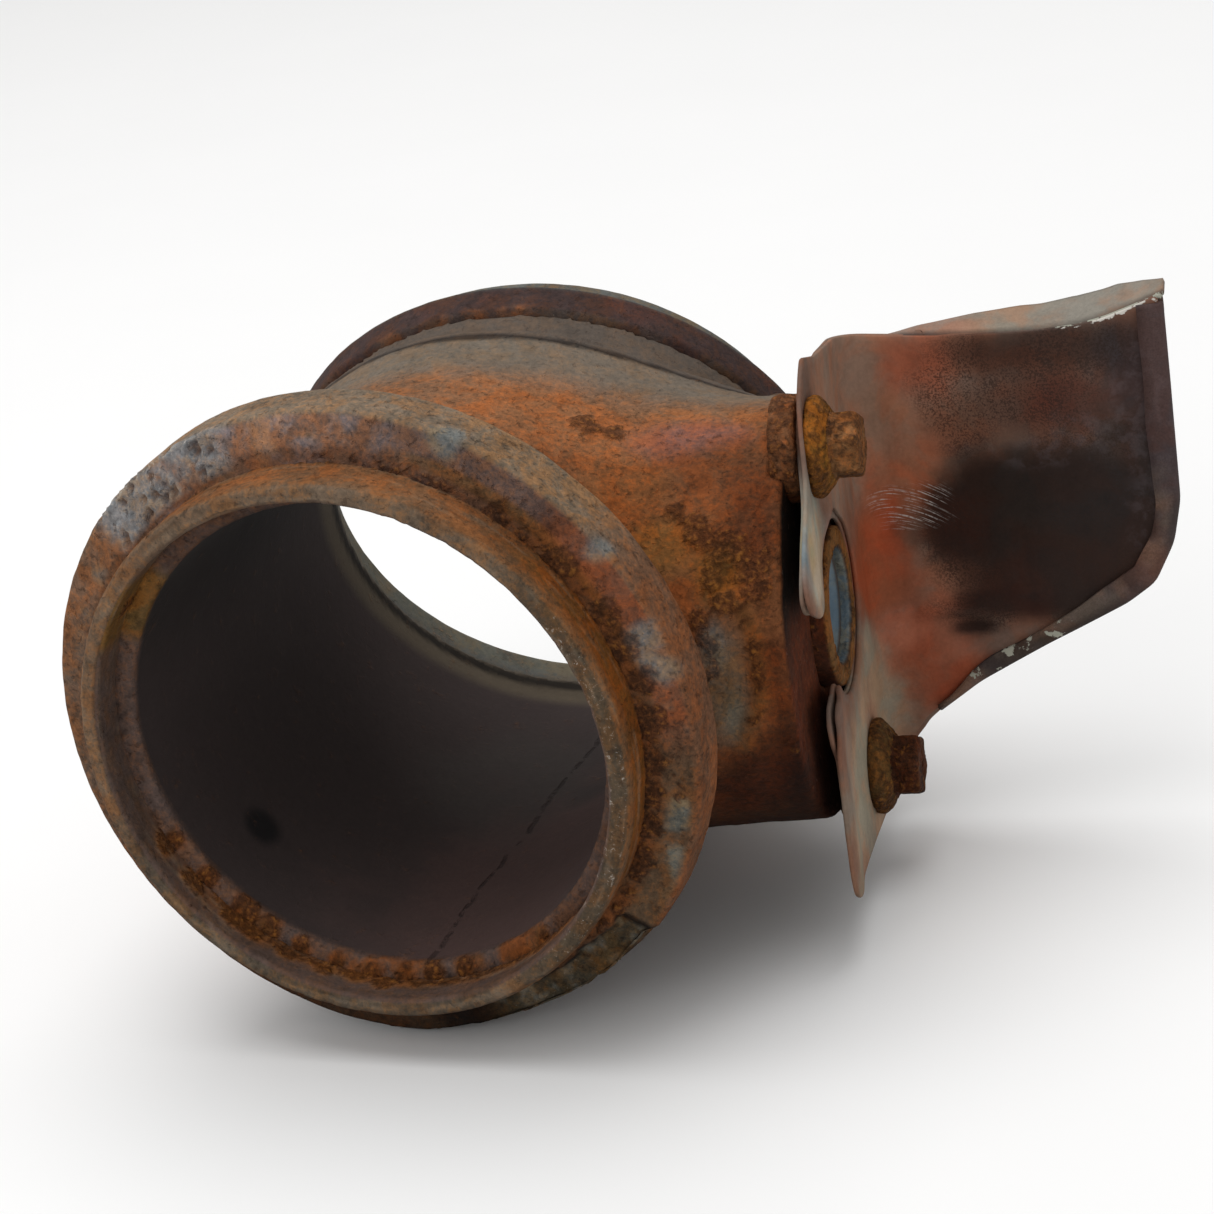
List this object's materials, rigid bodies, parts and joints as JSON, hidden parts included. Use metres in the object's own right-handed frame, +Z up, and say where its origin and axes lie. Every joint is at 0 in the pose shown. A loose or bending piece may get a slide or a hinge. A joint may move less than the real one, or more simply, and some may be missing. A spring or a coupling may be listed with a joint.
{
  "type": "pipe coupling",
  "caption": "Rusty cast exhaust pipe coupling with two V-band flanges set at an angle, a round side branch with a tube boss, and a bolted folded heat shield.",
  "frame": {"origin": "the centre of the outer end of the bush in the boss on the side branch", "axes": "+X out along the side branch towards the shield, +Z up, -Y towards the large front flange"},
  "size_m": [0.2432, 0.1711, 0.15],
  "materials": {
    "cast_body": "matt rust",
    "front_flange": "matt rust",
    "front_lip": "machined, rusted",
    "rear_flange": "matt rust",
    "rear_lip": "machined, rusted",
    "boss": "rusted",
    "bush": "blued by heat",
    "fasteners": "rusted",
    "shield_front": "heat-stained sheet",
    "shield_back": "heat-stained sheet"
  },
  "bodies": {
    "root": {"body_casting": "cast_body", "front_flange_ring": "front_flange", "front_sleeve": "front_lip", "rear_flange_ring": "rear_flange", "rear_sleeve": "rear_lip", "centre_boss": "boss", "boss_bush": "bush", "pad_nuts": "fasteners", "collar_washers": "fasteners", "hex_bolts": "fasteners", "shield_front_skin": "shield_front", "shield_back_skin": "shield_back"}
  },
  "joints": []
}
